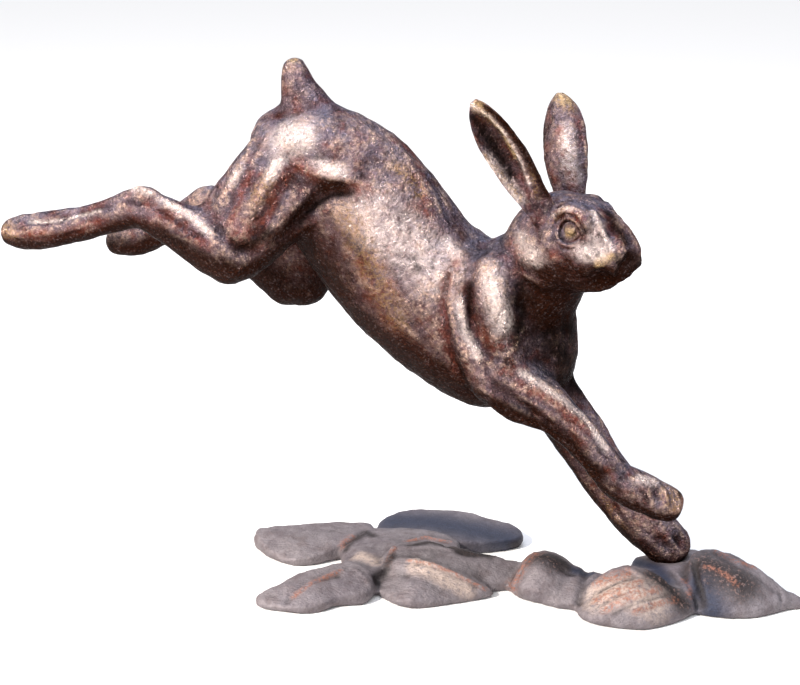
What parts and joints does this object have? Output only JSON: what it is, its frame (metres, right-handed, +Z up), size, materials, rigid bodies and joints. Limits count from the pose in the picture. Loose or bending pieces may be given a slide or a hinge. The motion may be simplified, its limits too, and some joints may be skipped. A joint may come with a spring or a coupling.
{
  "type": "rabbit garden statue",
  "caption": "Cast bronze hare at full stretch, landing on one forepaw on a low ledge of flat rocks, head turned to its right, tail up.",
  "frame": {"origin": "middle of the whole statue's bounding box, at the ground under the rocks", "axes": "+X the way the hare leaps, +Y to the hare's left, +Z up"},
  "size_m": [0.8104, 0.2502, 0.5133],
  "materials": {
    "patinated_bronze": "dark brown and copper patina over cast bronze, rubbed golden on the ridges",
    "rock_bronze": "grey mauve patina over cast bronze, rubbed orange along the edges"
  },
  "bodies": {
    "root": {"hare": "patinated_bronze", "rock_base": "rock_bronze"}
  },
  "joints": []
}
